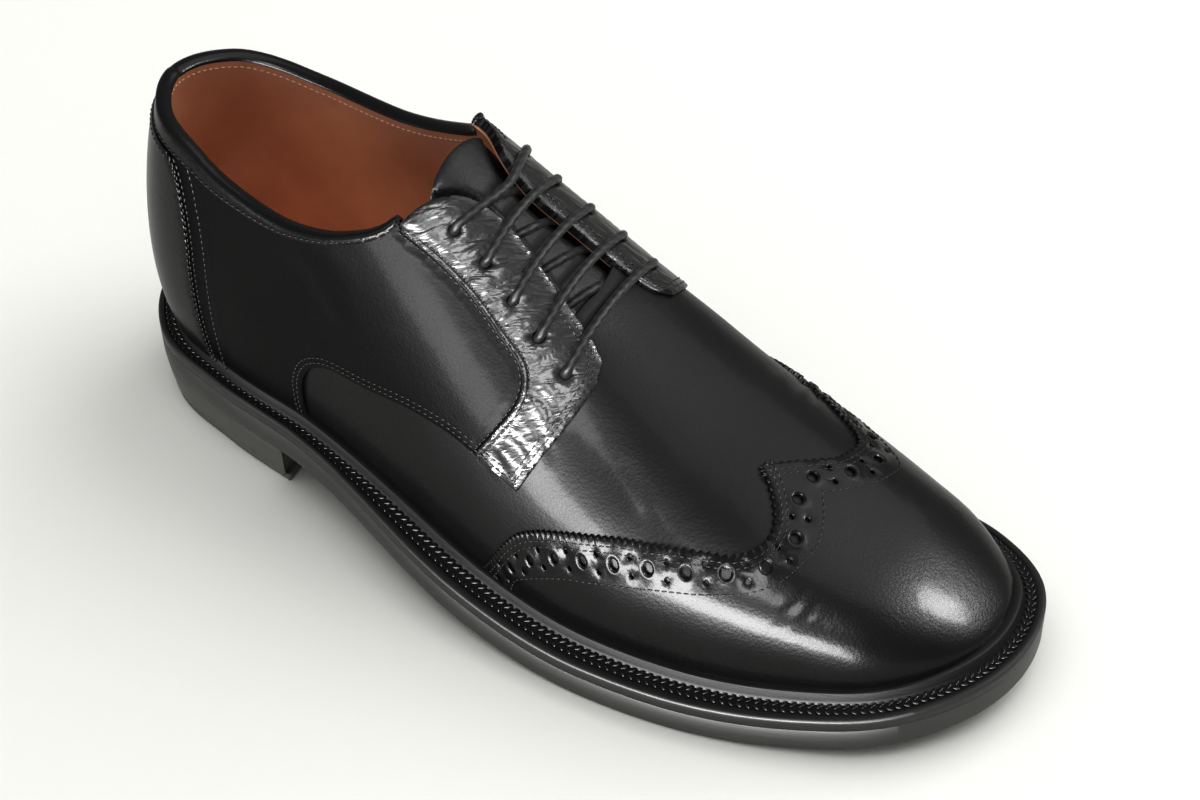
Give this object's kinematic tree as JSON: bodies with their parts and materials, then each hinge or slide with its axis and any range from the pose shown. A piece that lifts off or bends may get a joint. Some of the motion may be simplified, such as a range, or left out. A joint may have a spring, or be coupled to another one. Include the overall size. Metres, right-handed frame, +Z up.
{
  "type": "lace-up shoe",
  "caption": "Men's open-laced short-wing brogue shoe, right foot, with storm welt, stacked heel, tongue and straight lace bars.",
  "frame": {"origin": "middle of the underside, on the floor", "axes": "+X to the toe, +Y to the wearer's left (big-toe side), +Z up"},
  "size_m": [0.3008, 0.112, 0.1276],
  "materials": {
    "sole_leather": "dressed edge, satin",
    "heel_rubber": "matt",
    "welt_leather": "dressed, satin",
    "lining_leather": "tan, matt",
    "polished_calf": "black calf, polished",
    "soft_calf": "black calf, soft",
    "waxed_lace": "waxed cotton"
  },
  "bodies": {
    "root": {"outsole": "sole_leather", "heel_block": "sole_leather", "heel_top_piece": "heel_rubber", "welt": "welt_leather", "insole": "lining_leather", "upper": "polished_calf", "wing_cap": "polished_calf", "heel_counter": "polished_calf", "tongue": "soft_calf", "lace_bar_1": "waxed_lace", "lace_bar_2": "waxed_lace", "lace_bar_3": "waxed_lace", "lace_bar_4": "waxed_lace", "lace_bar_5": "waxed_lace"}
  },
  "joints": []
}
